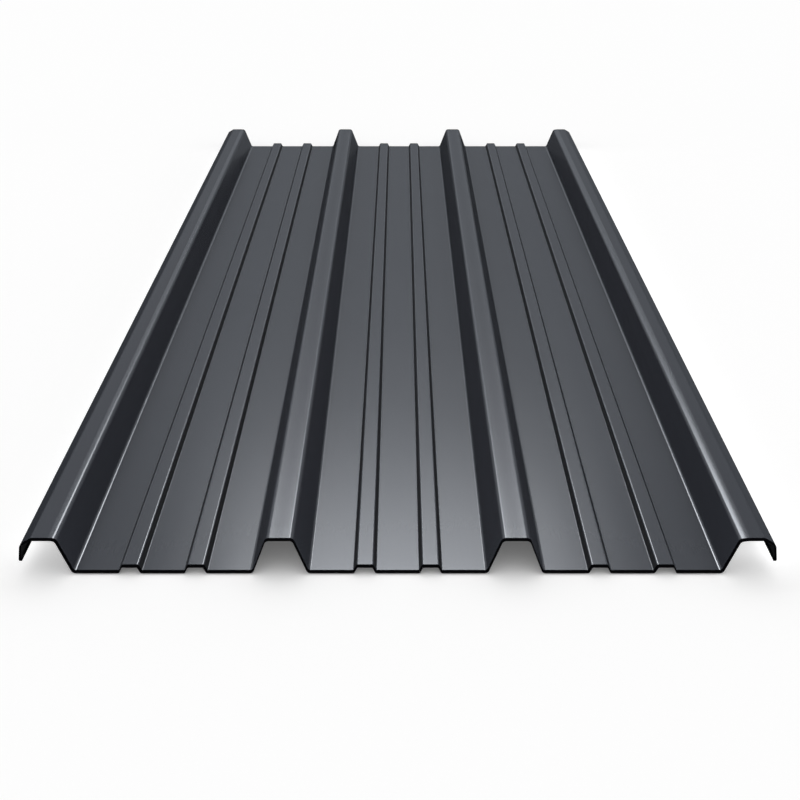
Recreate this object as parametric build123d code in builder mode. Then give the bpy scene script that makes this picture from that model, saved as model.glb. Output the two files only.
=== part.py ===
"""A trapezoidal roofing sheet, roll-formed from one strip of coated steel.

The section lies in the XZ plane with its ribs up, and runs along Y. The origin is the middle
of the sheet, on the plane that its pans rest on. All sizes are in millimetres. Widths and
heights of the section are those of its underside, between sharp corners, and the radius of
a bend is the one on its inside.
"""

import os

from build123d import *

# The strip
sheet_length = 1800.0
sheet_thickness = 1.0

# The main ribs, one pan apart
rib_count = 4
rib_pitch = 250.0
rib_height = 40.0
rib_crest_width = 28.0
rib_base_width = 58.0
crest_bend_radius = 5.0
pan_bend_radius = 4.0

# The swages, which are the low ribs that stiffen each pan
swages_per_pan = 2
swage_pitch = 70.0
swage_height = 7.0
swage_crest_width = 16.0
swage_base_width = 23.0
swage_bend_radius = 1.2

# The lap lips, down the outer side of the first and the last rib
lap_crest_inset = 2.5
shoulder_run = 11.0
shoulder_drop = 6.5
shoulder_bend_radius = 3.0
lip_lean = 2.5
lip_drop = 18.0
lip_return_width = 2.5
lip_bend_radius = 0.5


def centred_row(count, pitch, middle=0):
    """Places along X of a row of like features about its middle."""
    first = middle - (count - 1) * pitch / 2
    return [first + index * pitch for index in range(count)]


def fold(middle, base_width, crest_width, height, foot_radius, crest_radius):
    """Corners of one trapezoidal fold from left to right, each with the radius of its bend.

    The inside of a bend at the foot is the top of the sheet, so the underside is wider there.
    """
    return [
        ((middle - base_width / 2, 0), foot_radius + sheet_thickness),
        ((middle - crest_width / 2, height), crest_radius),
        ((middle + crest_width / 2, height), crest_radius),
        ((middle + base_width / 2, 0), foot_radius + sheet_thickness),
    ]


def rib(middle):
    """Corners of a main rib."""
    return fold(
        middle, rib_base_width, rib_crest_width, rib_height, pan_bend_radius, crest_bend_radius
    )


def pan_swages(middle):
    """Corners of the swages of the pan with that middle."""
    corners = []
    for place in centred_row(swages_per_pan, swage_pitch, middle):
        corners += fold(
            place, swage_base_width, swage_crest_width, swage_height,
            swage_bend_radius, swage_bend_radius,
        )
    return corners


def lap_lip(rib_middle):
    """Corners of the lip on the left of a rib, from its turned-in edge to the crest it hangs from."""
    crest_corner = rib_middle - rib_crest_width / 2 + lap_crest_inset
    shoulder_foot = crest_corner - shoulder_run
    shoulder_level = rib_height - shoulder_drop
    lip_foot = shoulder_foot - lip_lean
    lip_level = shoulder_level - lip_drop + sheet_thickness
    return [
        ((lip_foot + lip_return_width, lip_level), 0),
        ((lip_foot, lip_level), lip_bend_radius),
        ((shoulder_foot, shoulder_level), shoulder_bend_radius),
        ((crest_corner, rib_height), crest_bend_radius),
    ]


def mirrored(corners):
    """The same corners on the other side of the sheet's middle, again from left to right."""
    return [((-x, z), radius) for (x, z), radius in reversed(corners)]


def underside():
    """Corners of the whole section, from the left lip's turned-in edge to the right one's."""
    rib_middles = centred_row(rib_count, rib_pitch)
    pan_middles = centred_row(rib_count - 1, rib_pitch)
    left_lap = lap_lip(rib_middles[0]) + rib(rib_middles[0])[2:]
    corners = left_lap + pan_swages(pan_middles[0])
    for rib_middle, pan_middle in zip(rib_middles[1:], pan_middles[1:]):
        corners += rib(rib_middle) + pan_swages(pan_middle)
    return corners + mirrored(left_lap)


corners = underside()

with BuildPart() as corrugated_sheet:
    with BuildSketch(Plane.XZ) as section:
        with BuildLine() as strip:
            FilletPolyline(
                *[point for point, radius in corners],
                radius=[radius for point, radius in corners[1:-1]],
            )
            offset(amount=sheet_thickness, side=Side.LEFT)
        make_face()
    extrude(amount=sheet_length / 2, both=True)

corrugated_sheet.part.label = "corrugated_sheet"

os.makedirs("parts", exist_ok=True)
export_step(corrugated_sheet.part, "parts/corrugated_sheet.step")
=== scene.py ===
"""Looks of a trapezoidal roofing sheet: its formed skin, its coats, and a pale studio around it.

The file is laid out as an add-on and is run as a script. Every length is in metres, in the frame
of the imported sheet: X across the ribs, Y along them, Z up from the plane that the pans rest on.
"""

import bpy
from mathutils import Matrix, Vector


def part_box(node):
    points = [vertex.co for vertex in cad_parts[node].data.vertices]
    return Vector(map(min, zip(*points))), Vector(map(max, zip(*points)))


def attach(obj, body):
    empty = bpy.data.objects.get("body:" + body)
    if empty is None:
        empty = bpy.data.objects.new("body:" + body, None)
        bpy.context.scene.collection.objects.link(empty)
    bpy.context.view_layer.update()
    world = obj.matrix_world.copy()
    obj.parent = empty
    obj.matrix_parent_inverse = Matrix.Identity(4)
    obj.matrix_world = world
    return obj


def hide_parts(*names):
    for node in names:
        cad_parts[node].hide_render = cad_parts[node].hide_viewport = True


bl_info = {
    "name": "Corrugated Sheet",
    "version": (1, 0, 0),
    "blender": (4, 5, 0),
    "location": "3D View > Sidebar > Sheet",
    "description": "Forms a coated trapezoidal roofing sheet and sets a pale studio around it",
    "category": "Object",
}

import math
from typing import NamedTuple

import bpy
import numpy as np
from bpy.props import FloatProperty, FloatVectorProperty, IntProperty, PointerProperty

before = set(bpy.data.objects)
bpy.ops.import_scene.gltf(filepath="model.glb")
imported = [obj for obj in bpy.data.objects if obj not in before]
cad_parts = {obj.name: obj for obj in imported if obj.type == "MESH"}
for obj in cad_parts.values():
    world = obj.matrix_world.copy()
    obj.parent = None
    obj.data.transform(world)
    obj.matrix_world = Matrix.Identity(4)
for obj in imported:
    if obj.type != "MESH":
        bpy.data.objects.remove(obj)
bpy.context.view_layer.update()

SHEET_NODE = "corrugated_sheet"
SHEET_LOW, SHEET_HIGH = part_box(SHEET_NODE)


def length(name, description, default):
    """A property that holds a length in metres."""
    return FloatProperty(
        name=name, description=description, default=default, unit="LENGTH", precision=5
    )


def share(name, description, default):
    """A property that holds a share from 0 to 1."""
    return FloatProperty(name=name, description=description, default=default, min=0, max=1)


def amount(name, description, default):
    """A property that holds a plain number."""
    return FloatProperty(name=name, description=description, default=default)


def angle(name, description, degrees):
    """A property that holds an angle, given here in degrees."""
    return FloatProperty(
        name=name, description=description, default=math.radians(degrees), subtype="ANGLE"
    )


def colour(name, description, default):
    """A property that holds a linear colour."""
    return FloatVectorProperty(
        name=name, description=description, default=default, subtype="COLOR", size=3, min=0, max=1
    )


def place(name, description, default):
    """A property that holds a point in the sheet's frame."""
    return FloatVectorProperty(
        name=name, description=description, default=default, subtype="TRANSLATION", size=3
    )


class SheetSection(bpy.types.PropertyGroup):
    """Sizes of the rolled section, on its underside and between sharp corners."""

    thickness: length("Thickness", "Gauge of the strip", 0.001)
    rib_count: IntProperty(name="Ribs", description="Main ribs, with the two side laps", default=4)
    rib_pitch: length("Rib pitch", "From one rib's middle to the next", 0.25)
    rib_crest: length("Rib crest", "Width of a rib's crest", 0.028)
    rib_base: length("Rib base", "Width of a rib at the pans", 0.058)
    crest_bend: length("Crest bend", "Inside radius of the bends at a rib's crest", 0.005)
    pan_bend: length("Pan bend", "Inside radius of the bends at a rib's foot", 0.004)
    swages: IntProperty(name="Swages", description="Stiffening swages in each pan", default=2)
    swage_pitch: length("Swage pitch", "From one swage's middle to the next", 0.07)
    swage_height: length("Swage height", "Height of a swage above the pan", 0.007)
    swage_crest: length("Swage crest", "Width of a swage's crest", 0.016)
    swage_base: length("Swage base", "Width of a swage at the pan", 0.023)
    swage_bend: length("Swage bend", "Inside radius of a swage's bends", 0.0012)
    lap_inset: length("Lap inset", "How far a lap rib's crest stops short on its outer side", 0.0025)
    shoulder_run: length("Shoulder run", "Width of the slope from a lap rib's crest to its lip", 0.011)
    shoulder_drop: length("Shoulder drop", "Height of that slope", 0.0065)
    shoulder_bend: length("Shoulder bend", "Inside radius between the slope and the lip", 0.003)
    lip_lean: length("Lip lean", "How far the lip leans out at its free edge", 0.0025)
    lip_drop: length("Lip drop", "Height of the lip", 0.018)
    lip_return: length("Lip return", "Width of the lip's turned-in edge", 0.0025)
    lip_bend: length("Lip bend", "Inside radius of that turn", 0.0005)
    left_crown: length("Left crown", "Width of the rolled edge of the left lap's crest", 0.004)
    left_tilt: angle("Left tilt", "How far that edge has rolled down at its bend", 4.0)
    right_crown: length("Right crown", "Width of the rolled edge of the right lap's crest", 0.007)
    right_tilt: angle("Right tilt", "How far that edge has rolled down at its bend", 9.0)
    pan_bow: length("Pan bow", "How far a pan's flats bow up between their bends", 0.00006)
    droop_run: length("Droop run", "How far from a cut end the shear has drawn the sheet down", 0.03)
    droop: length("Droop", "How far the shear has drawn a cut end down", 0.00012)
    # Painted shade: width of the near-black band that runs from each cut end onto both faces
    edge_shade_lap: length("Seal lap", "How far the cut ends' sealing lacquer laps onto the faces", 0.005)


class SheetFinish(bpy.types.PropertyGroup):
    """Colours and gloss of the sheet's coats."""

    top_colour: colour("Top coat", "Anthracite of the weather side", (0.026, 0.0284, 0.0357))
    top_roughness: share("Top roughness", "Satin gloss of the weather side", 0.23)
    crest_polish: share("Crest polish", "Polish that the rolls left on the ribs' crest bends", 0.52)
    edge_polish: share("Edge polish", "Polish along a crest's edges, which fades to its middle", 0.18)
    crown_polish: share("Crown polish", "Polish on the rolled edges of the laps' crests", 0.42)
    lap_foot_polish: share("Lap foot polish", "Polish on the bends at the lap ribs' feet", 0.85)
    foot_polish: share("Foot polish", "Polish on the bends at the inner ribs' feet", 0.5)
    swage_polish: share("Swage polish", "Polish on the swages' crest bends", 0.9)
    swage_foot_polish: share("Swage foot polish", "Polish on the bends at the swages' feet", 0.4)
    # Painted shade: how much of the top coat's colour is taken away on the swages' flanks, so that they
    # read darker
    flank_painted_shade: share("Flank shade", "How much darker the coat is on the swages' tight flanks", 0.9)
    polish_roughness: share("Polish roughness", "Gloss of the polish on the bends", 0.2)
    polish_index: amount("Polish index", "Refractive index of that polish", 1.8)
    # Partly the underside's own colour, partly painted shade: kept darker than the top coat so that the
    # shaded underside and inner lip faces read black
    backing_and_shade_colour: colour("Backing coat", "Dull dark grey of the underside", (0.016, 0.017, 0.019))
    backing_roughness: share("Backing roughness", "Dullness of the underside", 0.75)
    # Painted shade on the cut edges and the bands beside them: near black, and without shine
    edge_shade_colour: colour("Edge seal", "Near-black lacquer on the cut edges", (0.002, 0.002, 0.0025))
    edge_shade_roughness: share("Seal roughness", "Dullness of the edge lacquer", 0.7)


class SheetStage(bpy.types.PropertyGroup):
    """Floor, light and camera."""

    floor_size: length("Floor size", "Side of the square floor", 60.0)
    floor_gap: length("Floor gap", "Height of the thin packing that the sheet lies on", 0.0015)
    floor_colour: colour("Floor", "Matt white of the floor", (0.86, 0.86, 0.86))
    floor_glow: amount("Floor glow", "Light that comes through the floor from below", 0.1)
    # Painted light: a brighter band of the floor's own glow under and beside both laps, which lifts the
    # shade there
    lap_painted_light: amount("Lap glow", "More of that light along the two laps", 0.485)
    lap_fade: length("Lap fade", "How far past a lip that light falls to half", 0.022)
    lap_lean: amount("Lap lean", "How much more of it is under the right lap than the left", 0.47)
    fill_strength: amount("Fill strength", "Radiance of the white fill from all round", 1.03)
    dome_strength: amount("Dome strength", "Radiance of the dome that glossy faces mirror", 0.74)
    dome_fall: amount("Dome fall", "Power by which the dome darkens towards the horizon", 0.65)
    dome_lean: amount("Dome lean", "How much brighter the dome is to the left than the right", 0.4)
    dome_corners: share("Dome corners", "How much darker the dome is between its four sides", 0.95)
    dome_least: share("Dome least", "What is left of the dome in between, at the least", 0.85)
    dome_colour: colour("Dome colour", "Cool tint of the dome", (0.847, 0.911, 1.0))
    dusk_height: amount("Dusk height", "Sine of the height below which the dome darkens on its left", 0.4)
    dusk_width: amount("Dusk width", "Sine of the turn to the left over which that comes in", 0.4)
    ground_strength: amount("Ground strength", "Radiance that glossy faces mirror from below", 0.23)
    ground_lean: amount("Ground lean", "How much brighter the ground is to the right than the left", 1.3)
    ground_depth: amount("Ground depth", "Sine of the angle below the horizon where it is black", 0.2)
    mutual_dimming: share("Mutual dimming", "What is left of it where faces mirror each other", 0.2)
    box_reach: length("Softbox reach", "From the sheet's middle to each softbox", 20.0)
    box_rise: angle("Softbox rise", "How high the softboxes stand, seen from the sheet", 41.23)
    box_height: length("Softbox height", "Height of a softbox", 5.885)
    box_width: length("Softbox width", "Width of a softbox", 5.82)
    box_radiance: amount("Softbox radiance", "Radiance of a softbox", 6.7)
    box_colour: colour("Softbox colour", "Cool white of the softboxes", (0.909, 0.945, 1.0))
    camera_place: place("Camera place", "Where the camera stands", (0.0024, -2.0292, 0.7469))
    camera_pitch: angle("Camera pitch", "How far the camera looks down", 25.664)
    camera_lens: FloatProperty(
        name="Lens", description="Focal length", default=56.76, subtype="DISTANCE_CAMERA"
    )


class Socket:
    """An output socket. Arithmetic on it adds Math nodes to its tree."""

    def __init__(self, graph, socket):
        self.graph = graph
        self.socket = socket

    def math(self, operation, *operands):
        inputs = dict(enumerate(operands))
        return self.graph.node("ShaderNodeMath", {"operation": operation}, inputs)

    def __add__(self, other):
        return self.math("ADD", self, other)

    def __radd__(self, other):
        return self.math("ADD", other, self)

    def __sub__(self, other):
        return self.math("SUBTRACT", self, other)

    def __rsub__(self, other):
        return self.math("SUBTRACT", other, self)

    def __mul__(self, other):
        return self.math("MULTIPLY", self, other)

    def __rmul__(self, other):
        return self.math("MULTIPLY", other, self)

    def __truediv__(self, other):
        return self.math("DIVIDE", self, other)

    def __rtruediv__(self, other):
        return self.math("DIVIDE", other, self)

    def __pow__(self, other):
        return self.math("POWER", self, other)

    def __rpow__(self, other):
        return self.math("POWER", other, self)

    def __abs__(self):
        return self.math("ABSOLUTE", self)

    def most(self, other):
        return self.math("MAXIMUM", self, other)

    def under(self, other):
        return self.math("LESS_THAN", self, other)

    def ramp(self, low, high):
        """0 below one value, 1 above the other and smooth between."""
        return self.graph.node(
            "ShaderNodeMapRange", {"interpolation_type": "SMOOTHSTEP"},
            {"Value": self, "From Min": low, "From Max": high},
        )


BUMP_DEPTH = 0.00003      # of the finest bumps in a coat
FIRST_MIRROR_DEPTH = 2.5  # the ray depth that parts what one face mirrors from what two faces do


class Graph:
    """A node tree that starts empty and grows by one method."""

    def __init__(self, tree):
        self.tree = tree
        tree.nodes.clear()

    def node(self, kind, settings=None, inputs=None, outputs=(0,)):
        """Add a node, set it up, feed its inputs by name or number and return some outputs."""
        made = self.tree.nodes.new(kind)
        for name, value in (settings or {}).items():
            setattr(made, name, value)
        for name, value in (inputs or {}).items():
            if isinstance(value, Socket):
                self.tree.links.new(value.socket, made.inputs[name])
            else:
                made.inputs[name].default_value = value
        sockets = [Socket(self, made.outputs[name]) for name in outputs if made.outputs]
        return sockets[0] if len(sockets) == 1 else sockets

    def where(self):
        """Coordinates in the object's own frame."""
        return self.node("ShaderNodeTexCoord", outputs=["Object"])

    def attribute(self, name):
        """A number that the mesh holds for each point."""
        return self.node("ShaderNodeAttribute", {"attribute_name": name}, outputs=["Fac"])

    def axes(self, vector):
        """X, Y and Z of a vector."""
        return self.node("ShaderNodeSeparateXYZ", None, {0: vector}, ["X", "Y", "Z"])

    def first_mirror(self):
        """1 for what the first face mirrors, 0 for what faces mirror in one another."""
        depth = self.node("ShaderNodeLightPath", outputs=["Ray Depth"])
        return depth.under(FIRST_MIRROR_DEPTH)

    def mix_colours(self, factor, first, second):
        """A colour between two others."""
        inputs = {0: factor, 6: first, 7: second}
        return self.node("ShaderNodeMix", {"data_type": "RGBA"}, inputs, [2])

    def stretched(self, vector, scale):
        """Coordinates that are scaled along each axis."""
        return self.node("ShaderNodeVectorMath", {"operation": "MULTIPLY"}, {0: vector, 1: scale})

    def noise(self, vector, scale, detail):
        """Noise from about -0.5 to 0.5."""
        inputs = {"Vector": vector, "Scale": scale, "Detail": detail}
        return self.node("ShaderNodeTexNoise", None, inputs) - 0.5

    def bumps(self, height, strength):
        """Normals of a surface with fine bumps."""
        inputs = {"Strength": strength, "Distance": BUMP_DEPTH, "Height": height}
        return self.node("ShaderNodeBump", None, inputs)


WHITE = (1.0, 1.0, 1.0)


def opaque(rgb, factor=1.0):
    """A colour times a factor, with full alpha, as a colour socket wants it."""
    return (*[channel * factor for channel in rgb], 1.0)


def new_material(name):
    """A material and its empty graph."""
    material = bpy.data.materials.new(name)
    material.use_nodes = True
    return material, Graph(material.node_tree)


def finish_material(graph, inputs):
    """Close a material's graph with its shader."""
    shader = graph.node("ShaderNodeBsdfPrincipled", None, inputs)
    graph.node("ShaderNodeOutputMaterial", None, {"Surface": shader})


def varied(graph, rgb, tint, spread):
    """A colour that is darker or lighter by up to a share, as the tint goes from -1 to 1."""
    return graph.mix_colours(tint * 0.5 + 0.5, opaque(rgb, 1 - spread), opaque(rgb, 1 + spread))


CLOUD_SCALE = 5.0                   # of the top coat's slow unevenness
STREAK_SCALE = (260.0, 1.6, 260.0)  # of its streaks: close together across, long along
PEEL_SCALE = 260.0                  # of its shallow ripple
GRAIN_SCALE = 1400.0                # of its fine grain
GRAIN_DEPTH_SHARE = 0.5             # how deep the grain is, against the ripple
TOP_BUMPS = 0.08                    # how strongly the two show in the shine
TOP_TINT_SPREAD = 0.08              # by which its colour varies
TOP_ROUGHNESS_SPREAD = 0.015        # by which its gloss varies
FLANK_DULLNESS = 0.3                # roughness that the swages' flanks have besides


def top_coat(finish):
    """Satin anthracite coil coating: fine grain, faint streaks, bends polished by the rolls, and painted
    shade on the swages' flanks.
    """
    material, graph = new_material("anthracite_top_coat")
    where = graph.where()
    polish = graph.attribute("polish")
    shade = graph.attribute("shade")
    cloud = graph.noise(where, CLOUD_SCALE, detail=3.0)
    streak = graph.noise(graph.stretched(where, STREAK_SCALE), 1.0, detail=3.0)
    peel = graph.noise(where, PEEL_SCALE, detail=2.0)
    grain = graph.noise(where, GRAIN_SCALE, detail=1.0)
    uneven = cloud + streak + grain
    lit = varied(graph, finish.top_colour, uneven, TOP_TINT_SPREAD)
    # Painted shade: on the flanks the colour is mixed towards this darker copy of the top coat
    dark = opaque(finish.top_colour, 1 - finish.flank_painted_shade)
    dullness = uneven * TOP_ROUGHNESS_SPREAD + shade * FLANK_DULLNESS
    finish_material(graph, {
        "Base Color": graph.mix_colours(shade, lit, dark),
        "Roughness": dullness + finish.top_roughness,
        "Coat Weight": polish,
        "Coat Roughness": finish.polish_roughness,
        "Coat IOR": finish.polish_index,
        "Normal": graph.bumps(peel + grain * GRAIN_DEPTH_SHARE, TOP_BUMPS),
    })
    return material


MOTTLE_SCALE = 30.0             # of the backing coat's mottling
BACKING_GRAIN_SCALE = 900.0     # of its fine grain
BACKING_BUMPS = 0.3             # how strongly the grain shows
BACKING_TINT_SPREAD = 0.3       # by which its colour varies
BACKING_ROUGHNESS_SPREAD = 0.1  # by which its dullness varies
BACKING_SHINE = 0.15            # what shine is left


def backing_coat(finish):
    """Dull backing coat of the underside, a little mottled; its darkness is partly its own colour and
    partly painted shade.
    """
    material, graph = new_material("dull_backing_coat")
    where = graph.where()
    mottle = graph.noise(where, MOTTLE_SCALE, detail=4.0)
    grain = graph.noise(where, BACKING_GRAIN_SCALE, detail=1.0)
    finish_material(graph, {
        "Base Color": varied(graph, finish.backing_and_shade_colour, mottle + grain, BACKING_TINT_SPREAD),
        "Roughness": mottle * BACKING_ROUGHNESS_SPREAD + finish.backing_roughness,
        "Specular IOR Level": BACKING_SHINE,
        "Normal": graph.bumps(grain, BACKING_BUMPS),
    })
    return material


EDGE_NOISE_SCALE = 700.0          # of the random speckle in the painted edge shade
EDGE_SHADE_TINT_SPREAD = 0.4       # by which its colour varies
EDGE_SHADE_ROUGHNESS_SPREAD = 0.2  # by which its dullness varies


def painted_edge_shade(finish):
    """Painted shade: near black and without shine, on the cut edges and a band of both faces beside them.
    """
    material, graph = new_material("painted_edge_shade_material")
    edge_noise = graph.noise(graph.where(), EDGE_NOISE_SCALE, detail=3.0)
    finish_material(graph, {
        "Base Color": varied(graph, finish.edge_shade_colour, edge_noise, EDGE_SHADE_TINT_SPREAD),
        "Roughness": edge_noise * EDGE_SHADE_ROUGHNESS_SPREAD + finish.edge_shade_roughness,
        "Specular IOR Level": 0.0,
    })
    return material


FLOOR_SCALE = 1.3          # of the floor's slow unevenness
FLOOR_TINT_SPREAD = 0.005  # by which its colour varies
LAP_LIGHT_START = 0.335    # across, where the painted light along a lap comes in
LAP_LIGHT_FULL = 0.35      # and where all of it is there
END_FADE_INSIDE = 0.07     # from inside a cut end, where that light starts to fade
END_FADE_PAST = 0.03       # to past the cut end, where it is gone


def matt_floor(stage):
    """Matt white floor with an even glow, and painted light along the laps that lifts the shade under and
    beside them.
    """
    material, graph = new_material("matt_white_floor")
    where = graph.where()
    across, along, _ = graph.axes(where)
    past_lip = (abs(across) - SHEET_HIGH.x).most(0.0) / stage.lap_fade
    beside = abs(across).ramp(LAP_LIGHT_START, LAP_LIGHT_FULL) / (1.0 + past_lip * past_lip)
    to_end = abs(along).ramp(SHEET_HIGH.y - END_FADE_INSIDE, SHEET_HIGH.y + END_FADE_PAST)
    # Painted light: the floor glows more in a band along each lap, more on the right, fading past the
    # lips and the cut ends
    lap = (1.0 + across * stage.lap_lean) * beside * (1.0 - to_end)
    cloud = graph.noise(where, FLOOR_SCALE, detail=2.0)
    finish_material(graph, {
        "Base Color": varied(graph, stage.floor_colour, cloud, FLOOR_TINT_SPREAD),
        "Roughness": 1.0,
        "Specular IOR Level": 0.0,
        "Emission Color": graph.mix_colours(
            lap, opaque(WHITE, stage.floor_glow), opaque(WHITE, stage.floor_glow + stage.lap_painted_light)
        ),
        "Emission Strength": 1.0,
    })
    return material


def centred_row(count, pitch, middle=0.0):
    """Places along X of a row of like features about its middle."""
    first = middle - (count - 1) * pitch / 2
    return [first + index * pitch for index in range(count)]


class Flat(NamedTuple):
    """Looks of a flat of the section: its painted shade, and its polish along both edges and in its
    middle.
    """

    shade: float = 0.0
    edge_polish: float = 0.0
    middle_polish: float = 0.0


class Corner(NamedTuple):
    """A corner of the underside, with its bend and the flat that follows it on the right."""

    x: float
    z: float
    radius: float = 0.0
    polish: float = 0.0
    flat: Flat = Flat()


class Column(NamedTuple):
    """A line along the sheet: its place on the underside, its normal to the weather side, its looks.

    The place across its flat goes from 0 to 1, and is 0 on a bend.
    """

    x: float
    z: float
    normal_x: float
    normal_z: float
    polish: float
    place: float
    # shade: how much painted shade the top coat puts on this column
    shade: float


def fold(middle, base, crest, height, foot, top, flank, cap):
    """Corners of one trapezoidal fold. Its foot and its top each have a radius and a polish."""
    return [
        Corner(middle - base / 2, 0.0, *foot, flank),
        Corner(middle - crest / 2, height, *top, cap),
        Corner(middle + crest / 2, height, *top, flank),
        Corner(middle + base / 2, 0.0, *foot),
    ]


def rib_corners(section, finish, middle, height, foot_polish):
    """Corners of a main rib."""
    foot = (section.pan_bend + section.thickness, foot_polish)
    top = (section.crest_bend, finish.crest_polish)
    cap = Flat(edge_polish=finish.edge_polish)
    return fold(middle, section.rib_base, section.rib_crest, height, foot, top, Flat(), cap)


def pan_corners(section, finish, middle):
    """Corners of the swages of the pan with that middle."""
    foot = (section.swage_bend + section.thickness, finish.swage_foot_polish)
    top = (section.swage_bend, finish.swage_polish)
    sizes = (section.swage_base, section.swage_crest, section.swage_height)
    # The flanks carry a shade of 1, which the top coat turns into painted shade
    return [
        corner
        for x in centred_row(section.swages, section.swage_pitch, middle)
        for corner in fold(x, *sizes, foot, top, Flat(shade=1.0), Flat())
    ]


def lap_corners(section, finish, height, crown, tilt):
    """Corners of the left lap, from its lip's turned-in edge over its rolled crest to its foot."""
    middle = centred_row(section.rib_count, section.rib_pitch)[0]
    _, outer, inner, foot = rib_corners(section, finish, middle, height, finish.lap_foot_polish)
    crest_x = outer.x + section.lap_inset
    shoulder_x = crest_x - section.shoulder_run
    shoulder_z = height - section.shoulder_drop
    lip_x = shoulder_x - section.lip_lean
    lip_z = shoulder_z - section.lip_drop + section.thickness
    web_slope = math.atan2(height, foot.x - inner.x)
    bend_run = section.crest_bend * math.tan((web_slope - tilt) / 2)
    crown_x = inner.x - bend_run - section.thickness - crown / 2
    crown_drop = (inner.x - crown_x) * math.tan(tilt)
    crown_radius = crown / 2 / math.tan(tilt / 2)
    polish = finish.crown_polish
    rolled = Flat(edge_polish=polish, middle_polish=polish)
    return [
        Corner(lip_x + section.lip_return, lip_z),
        Corner(lip_x, lip_z, section.lip_bend),
        Corner(shoulder_x, shoulder_z, section.shoulder_bend),
        Corner(crest_x, height, section.crest_bend),
        Corner(crown_x, height, crown_radius, polish, rolled),
        inner._replace(z=height - crown_drop),
        foot,
    ]


def mirrored(corners):
    """The same corners on the right, from left to right, each with the flat that follows it there."""
    flats = [*[corner.flat for corner in reversed(corners[:-1])], Flat()]
    return [
        corner._replace(x=-corner.x, flat=flat) for corner, flat in zip(reversed(corners), flats)
    ]


def section_corners(section, finish, height):
    """Corners of the whole underside, from the left lip's turned-in edge to the right one's."""
    ribs = [
        rib_corners(section, finish, x, height, finish.foot_polish)
        for x in centred_row(section.rib_count, section.rib_pitch)
    ]
    pans = [
        pan_corners(section, finish, x)
        for x in centred_row(section.rib_count - 1, section.rib_pitch)
    ]
    left_lap = lap_corners(section, finish, height, section.left_crown, section.left_tilt)
    right_lap = lap_corners(section, finish, height, section.right_crown, section.right_tilt)
    corners = left_lap + pans[0]
    for rib, pan in zip(ribs[1:], pans[1:]):
        corners += rib + pan
    return corners + mirrored(right_lap)


BEND_STEP = math.radians(6)  # largest turn between two columns of a bend
BEND_RUN = 0.001             # widest column of a bend
BEND_GUARD = 0.0004          # from a bend to the column that keeps the flat's shading flat
FLAT_STEP = 0.012            # widest column of a flat
EDGE_STEP = 0.003            # widest column of a flat whose edges are polished


def flat_columns(start, way, width, flat):
    """Columns of a flat, from the end of one bend to the start of the next."""
    step = EDGE_STEP if flat.edge_polish else FLAT_STEP
    count = math.ceil((width - 2 * BEND_GUARD) / step)
    for along in (0.0, *np.linspace(BEND_GUARD, width - BEND_GUARD, count + 1), width):
        from_middle = 2 * along / width - 1
        polish = flat.middle_polish + (flat.edge_polish - flat.middle_polish) * from_middle ** 2
        yield Column(*(start + way * along), -way[1], way[0], polish, along / width, flat.shade)


def bend_columns(start, way, turn, corner):
    """Columns of a bend, between those of its two flats."""
    normal = np.array([-way[1], way[0]])
    to_centre = math.copysign(corner.radius, turn)
    centre = start + normal * to_centre
    steps = math.ceil(abs(turn) * max(1 / BEND_STEP, corner.radius / BEND_RUN))
    for step in range(1, steps):
        swing = turn * step / steps
        cos, sin = math.cos(swing), math.sin(swing)
        bent = np.array([normal[0] * cos - normal[1] * sin, normal[0] * sin + normal[1] * cos])
        yield Column(*(centre - bent * to_centre), *bent, corner.polish, place=0.0, shade=0.0)


def rounded_columns(corners):
    """Columns across the strip, with each corner rounded to its arc: one array for each value."""
    points = np.array([(corner.x, corner.z) for corner in corners])
    runs = np.diff(points, axis=0)
    ways = runs / np.linalg.norm(runs, axis=1)[:, None]
    columns = []
    start = points[0]
    for index in range(1, len(points)):
        corner = corners[index]
        way = ways[index - 1]
        last = index == len(points) - 1
        onward = way if last else ways[index]
        turn = math.atan2(way[0] * onward[1] - way[1] * onward[0], way @ onward)
        tangent = corner.radius * math.tan(abs(turn) / 2)
        end = points[index] - way * tangent
        width = (end - start) @ way
        if width <= 2 * BEND_GUARD:
            raise ValueError("two bends of the section run into each other")
        columns.extend(flat_columns(start, way, width, corners[index - 1].flat))
        columns.extend(bend_columns(end, way, turn, corner))
        start = points[index] + onward * tangent
    return Column(*np.array(columns).T)


STATION_STEP = 0.05  # along the sheet
TOP, BACKING, EDGE_SHADE = range(3)  # the material slots


def stations(section):
    """Places along Y, close together where the cut ends droop."""
    low, high = SHEET_LOW.y, SHEET_HIGH.y
    near = np.arange(0.0, section.droop_run, section.edge_shade_lap)
    count = round((high - low - 2 * section.droop_run) / STATION_STEP)
    inner = np.linspace(low + section.droop_run, high - section.droop_run, count + 1)
    return np.array([*(low + near), *inner, *(high - near[::-1])])


SWELL_LENGTH = 0.34      # from one swell of a pan's flat to the next
SWELL_SPREAD = 0.05      # by which that differs between flats
SWELL_LENGTH_TURN = 2.4  # radians from flat to flat, for the length of the swells
SWELL_START_TURN = 1.7   # radians from flat to flat, for where they start


def pan_bows(section, columns, places):
    """How far each point of the pans' flats bows up: a slow swell along, a crown across."""
    on_pan = (columns.z < section.thickness) & (columns.normal_z == 1)
    flat_number = np.cumsum(columns.place == 0)
    wave = SWELL_LENGTH + SWELL_SPREAD * np.sin(flat_number * SWELL_LENGTH_TURN)
    phase = places[:, None] / wave * 2 * math.pi + flat_number * SWELL_START_TURN
    swell = 0.5 + 0.5 * np.sin(phase)
    crown = np.sin(columns.place * math.pi) ** 2 * on_pan
    return section.pan_bow * swell * crown


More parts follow.
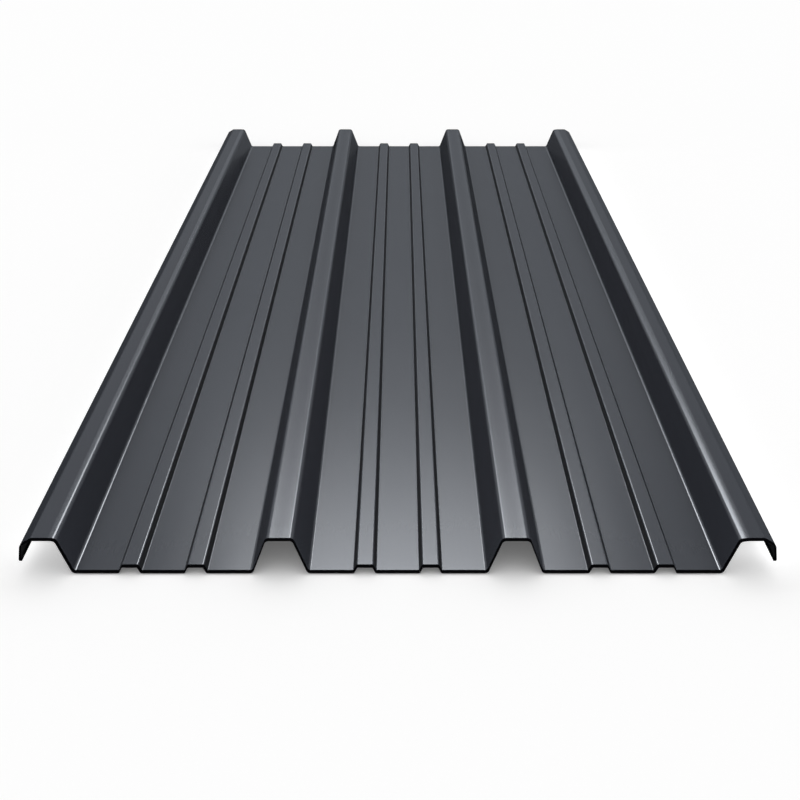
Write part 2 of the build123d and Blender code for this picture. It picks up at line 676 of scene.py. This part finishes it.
def skin_points(section, columns, places):
    """Points of the weather side and of the underside, by place along and column across."""
    from_end = np.minimum(places - SHEET_LOW.y, SHEET_HIGH.y - places)
    drawn = np.clip(1.0 - from_end / section.droop_run, 0.0, 1.0) ** 2 * section.droop
    under = np.empty((len(places), len(columns.x), 3))
    under[..., 0] = columns.x
    under[..., 1] = places[:, None]
    under[..., 2] = columns.z + pan_bows(section, columns, places) - drawn[:, None]
    level = np.zeros_like(columns.x)
    normals = np.stack([columns.normal_x, level, columns.normal_z], axis=1)
    return under + normals * section.thickness, under


def strip_of(first, second):
    """Quads between two rows of vertex numbers."""
    return np.stack([first[:-1], first[1:], second[1:], second[:-1]], axis=-1)


def skin_faces(rows, width):
    """Quads of the weather side, the underside, both cut ends and both free edges, in that order."""
    top = np.arange(rows * width).reshape(rows, width)
    low = top + rows * width
    top_faces = np.concatenate([strip_of(top[row], top[row + 1]) for row in range(rows - 1)])
    return [
        top_faces,
        top_faces[:, ::-1] + rows * width,
        strip_of(low[0], top[0]),
        strip_of(top[-1], low[-1]),
        strip_of(top[:, 0], low[:, 0]),
        strip_of(low[:, -1], top[:, -1]),
    ]


def skin_slots(rows, width, edge_count):
    """Material slot of each quad. The painted edge shade covers the cut edges and laps onto both faces by
    one row at each end.
    """
    lapped = np.zeros((rows - 1, width - 1), bool)
    lapped[[0, -1]] = True
    top_slots = np.where(lapped, EDGE_SHADE, TOP).ravel()
    low_slots = np.where(lapped, EDGE_SHADE, BACKING).ravel()
    return np.concatenate([top_slots, low_slots, np.full(edge_count, EDGE_SHADE)])


# Boxes of the map, by low and high corner: both faces side by side, the cut ends above them
# and, with U and V swapped, the lips' free edges between them.
TOP_MAP = ((0.01, 0.02), (0.49, 0.978))
BACKING_MAP = ((0.51, 0.02), (0.99, 0.978))
FRONT_MAP = ((0.01, 0.983), (0.99, 0.989))
BACK_MAP = ((0.01, 0.992), (0.99, 0.998))
LEFT_MAP = ((0.02, 0.4935), (0.978, 0.4975))
RIGHT_MAP = ((0.02, 0.5025), (0.978, 0.5065))


def map_strip(across, along, box):
    """Map places of quads between neighbours across and along, inside a box of the map."""
    (u_low, v_low), (u_high, v_high) = box
    u = u_low + (across - across[0]) / np.ptp(across) * (u_high - u_low)
    v = v_low + (along - along[0]) / np.ptp(along) * (v_high - v_low)
    grid = np.stack(np.meshgrid(u, v), axis=-1)
    corners = [grid[:-1, :-1], grid[:-1, 1:], grid[1:, 1:], grid[1:, :-1]]
    return np.stack(corners, axis=2).reshape(-1, 4, 2)


def skin_map(section, columns, places):
    """Map places of each quad, with the strip unrolled flat."""
    steps = np.hypot(np.diff(columns.x), np.diff(columns.z))
    strip = np.concatenate([[0.0], np.cumsum(steps)])
    gauge = np.array([0.0, section.thickness])
    return np.concatenate([
        map_strip(strip, places, TOP_MAP),
        map_strip(strip, places, BACKING_MAP)[:, ::-1],
        map_strip(strip, gauge, FRONT_MAP),
        map_strip(strip, gauge, BACK_MAP),
        map_strip(places, gauge, LEFT_MAP)[..., ::-1],
        map_strip(places, gauge, RIGHT_MAP)[..., ::-1],
    ])


SHARP_ANGLE = math.radians(45)  # above the turns in a bend, below those at a cut edge


def build_skin(section, columns):
    """The closed mesh of the sheet: weather side, underside and cut edges, unrolled on its map."""
    places = stations(section)
    over, under = skin_points(section, columns, places)
    rows, width = over.shape[:2]
    points = np.concatenate([over, under]).reshape(-1, 3)
    faces = skin_faces(rows, width)
    slots = skin_slots(rows, width, edge_count=sum(len(quads) for quads in faces[2:]))
    mesh = bpy.data.meshes.new("formed_sheet")
    mesh.from_pydata(points.tolist(), [], np.concatenate(faces).tolist())
    mesh.polygons.foreach_set("material_index", slots.astype(np.int32))
    layer = mesh.uv_layers.new(name="OFBake")
    layer.uv.foreach_set("vector", skin_map(section, columns, places).astype(np.float32).ravel())
    for name in ("polish", "shade"):
        attribute = mesh.attributes.new(name, "FLOAT", "POINT")
        values = np.tile(getattr(columns, name), 2 * rows)
        attribute.data.foreach_set("value", values.astype(np.float32))
    mesh.shade_smooth()
    mesh.set_sharp_from_angle(angle=SHARP_ANGLE)
    return add_object("formed_sheet", mesh)


def add_object(name, data):
    """A new object in the scene."""
    made = bpy.data.objects.new(name, data)
    bpy.context.scene.collection.objects.link(made)
    return made


class SHEET_OT_form(bpy.types.Operator):
    """Form the coated sheet: the section with its rounded bends, run along the whole length"""

    bl_idname = "sheet.form"
    bl_label = "Form Sheet"

    def execute(self, context):
        section = context.scene.sheet_section
        finish = context.scene.sheet_finish
        height = SHEET_HIGH.z - SHEET_LOW.z - section.thickness
        columns = rounded_columns(section_corners(section, finish, height))
        width = np.ptp(columns.x + columns.normal_x * section.thickness)
        if abs(width - (SHEET_HIGH.x - SHEET_LOW.x)) > section.thickness:
            raise ValueError("the section isn't as wide as the packed sheet")
        sheet = build_skin(section, columns)
        for material in (top_coat(finish), backing_coat(finish), painted_edge_shade(finish)):
            sheet.data.materials.append(material)
        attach(sheet, "root")
        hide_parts(SHEET_NODE)
        return {"FINISHED"}


class SHEET_OT_set_stage(bpy.types.Operator):
    """Set the pale floor, the soft light and the camera"""

    bl_idname = "sheet.set_stage"
    bl_label = "Set Stage"

    def execute(self, context):
        stage = context.scene.sheet_stage
        lowest = -context.scene.sheet_section.droop
        lay_floor(stage, lowest - stage.floor_gap)
        light_dome(context.scene, stage)
        hang_softboxes(stage)
        stand_camera(context.scene, stage)
        context.scene.view_settings.view_transform = "Standard"
        return {"FINISHED"}


def lay_floor(stage, level):
    """A wide square floor, which glossy faces don't mirror."""
    half = stage.floor_size / 2
    mesh = bpy.data.meshes.new("floor")
    corners = [(-half, -half, 0.0), (half, -half, 0.0), (half, half, 0.0), (-half, half, 0.0)]
    mesh.from_pydata(corners, [], [(0, 1, 2, 3)])
    mesh.materials.append(matt_floor(stage))
    floor = add_object("floor", mesh)
    floor.location.z = level
    floor.visible_glossy = False


def light_dome(scene, stage):
    """White fill from all round, and for glossy faces a dimmer dome over a dim ground."""
    world = bpy.data.worlds.new("studio_dome")
    world.use_nodes = True
    world.cycles.sampling_method = "NONE"
    scene.world = world
    graph = Graph(world.node_tree)
    x, y, z = graph.axes(graph.node("ShaderNodeTexCoord", outputs=["Generated"]))
    facing = abs(x * x - y * y) / (x * x + y * y)
    side = (1.0 - stage.dome_corners + stage.dome_corners * facing).most(stage.dome_least)
    dusk = (0.0 - x).ramp(0.0, stage.dusk_width) * (1.0 - z.ramp(0.0, stage.dusk_height))
    lean = 1.0 - x * stage.dome_lean
    sky = z.most(0.0) ** stage.dome_fall * lean * side * stage.dome_strength * (1.0 - dusk)
    below = (1.0 + z / stage.ground_depth).most(0.0) * z.under(0.0)
    ground = (1.0 + x * stage.ground_lean).most(0.0) * below * stage.ground_strength

    def background(rgb, strength):
        inputs = {"Color": opaque(rgb), "Strength": strength}
        return graph.node("ShaderNodeBackground", None, inputs)

    dimming = stage.mutual_dimming + (1.0 - stage.mutual_dimming) * graph.first_mirror()
    dome = background(stage.dome_colour, (sky + ground) * dimming)
    fill = background(WHITE, stage.fill_strength)
    glossy = graph.node("ShaderNodeLightPath", outputs=["Is Glossy Ray"])
    both = graph.node("ShaderNodeMixShader", None, {0: glossy, 1: fill, 2: dome})
    graph.node("ShaderNodeOutputWorld", None, {"Surface": both})


BOX_COUNT = 8  # a softbox for each side of the sheet and one for each corner


def hang_softboxes(stage):
    """Softboxes high up all round, which show only as shine on the faces that the camera sees."""
    lamp = bpy.data.lights.new("softbox", "AREA")
    lamp.shape = "RECTANGLE"
    lamp.size = stage.box_width
    lamp.size_y = stage.box_height
    lamp.energy = math.pi * stage.box_width * stage.box_height * stage.box_radiance
    lamp.use_nodes = True
    graph = Graph(lamp.node_tree)
    inputs = {"Color": opaque(stage.box_colour), "Strength": graph.first_mirror()}
    glow = graph.node("ShaderNodeEmission", None, inputs)
    graph.node("ShaderNodeOutputLight", None, {"Surface": glow})
    away = stage.box_reach * math.cos(stage.box_rise)
    height = stage.box_reach * math.sin(stage.box_rise)
    for number in range(BOX_COUNT):
        turn = number * 2 * math.pi / BOX_COUNT
        box = add_object(f"softbox_{number}", lamp)
        box.location = (-away * math.sin(turn), away * math.cos(turn), height)
        box.rotation_euler = (stage.box_rise - math.pi / 2, 0.0, turn)
        box.visible_diffuse = False
        box.visible_camera = False


def stand_camera(scene, stage):
    """The camera, looking along the ribs and down."""
    lens = bpy.data.cameras.new("camera")
    lens.lens = stage.camera_lens
    camera = add_object("camera", lens)
    camera.location = stage.camera_place
    camera.rotation_euler = (math.pi / 2 - stage.camera_pitch, 0.0, 0.0)
    scene.camera = camera


class VIEW3D_PT_sheet(bpy.types.Panel):
    """Lists the sheet's steps and sizes in the sidebar"""

    bl_label = "Corrugated Sheet"
    bl_idname = "VIEW3D_PT_sheet"
    bl_space_type = "VIEW_3D"
    bl_region_type = "UI"
    bl_category = "Sheet"

    def draw(self, context):
        for operator in (SHEET_OT_form, SHEET_OT_set_stage):
            self.layout.operator(operator.bl_idname)
        for name in GROUPS:
            group = getattr(context.scene, name)
            box = self.layout.box()
            for key in group.__annotations__:
                box.prop(group, key)


GROUPS = {"sheet_section": SheetSection, "sheet_finish": SheetFinish, "sheet_stage": SheetStage}
CLASSES = (*GROUPS.values(), SHEET_OT_form, SHEET_OT_set_stage, VIEW3D_PT_sheet)


def register():
    """Register the classes and give the scene its groups."""
    for cls in CLASSES:
        bpy.utils.register_class(cls)
    for name, group in GROUPS.items():
        setattr(bpy.types.Scene, name, PointerProperty(type=group))


def unregister():
    """Take the groups and the classes away again."""
    for name in GROUPS:
        delattr(bpy.types.Scene, name)
    for cls in reversed(CLASSES):
        bpy.utils.unregister_class(cls)


def main():
    """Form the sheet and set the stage."""
    register()
    bpy.ops.sheet.form()
    bpy.ops.sheet.set_stage()


if __name__ == "__main__":
    main()
